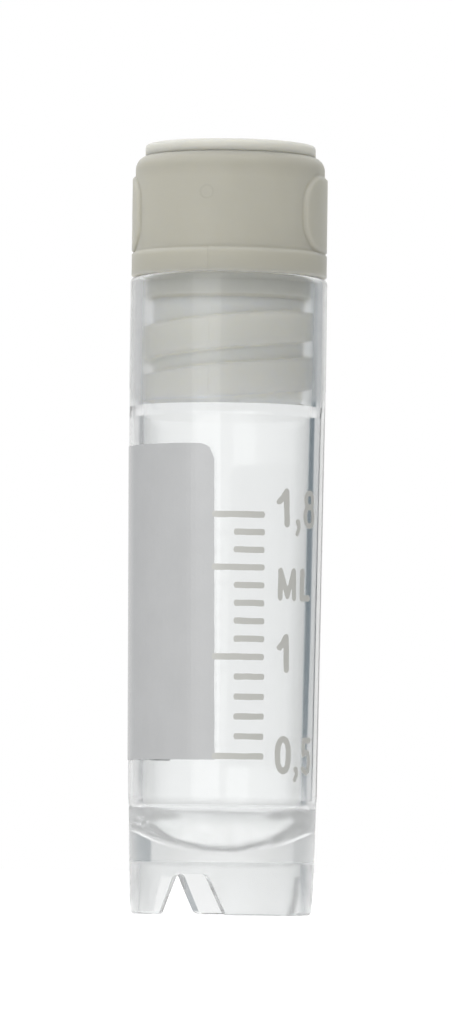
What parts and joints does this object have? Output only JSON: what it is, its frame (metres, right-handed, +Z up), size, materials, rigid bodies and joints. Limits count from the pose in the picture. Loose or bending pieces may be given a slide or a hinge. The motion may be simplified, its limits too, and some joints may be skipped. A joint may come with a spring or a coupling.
{
  "type": "cryovial",
  "caption": "Self-standing clear plastic sample vial for frozen storage, with an internal-thread screw cap, a printed volume scale and a notched foot.",
  "frame": {"origin": "centre of the foot ring, on the surface that the vial stands on", "axes": "+Z up the vial's axis to the cap; -Y out of the side with the printed scale; +X to the right as that side is read"},
  "size_m": [0.0126, 0.0124, 0.0488],
  "materials": {
    "clear_polypropylene": "clear, smooth as moulded",
    "natural_polypropylene": "undyed, milky, satin",
    "insert_polypropylene": "undyed, milky, satin",
    "silicone": "translucent, soft",
    "white_ink": "screen-printed, slightly rough for writing",
    "scale_ink": "screen-printed"
  },
  "bodies": {
    "vial": {"vial_body": "clear_polypropylene", "writing_panel": "white_ink", "graduation_marks": "scale_ink"},
    "seal": {"seal_ring": "silicone"},
    "cap": {"screw_cap": "natural_polypropylene", "cap_insert": "insert_polypropylene"}
  },
  "joints": [
    {"name": "cap_lift", "type": "slide", "parent": "vial", "child": "seal", "axis": [0, 0, 1], "range_m": [0, 0.01228]},
    {"name": "cap_turn", "type": "hinge", "parent": "seal", "child": "cap", "pos_m": [0, 0, 0.04035], "axis": [0, 0, 1], "range_deg": [0, 1440]}
  ],
  "couplings": [
    {"joint": "cap_turn", "follows": "cap_lift", "rad_per_m": 2046.6}
  ]
}
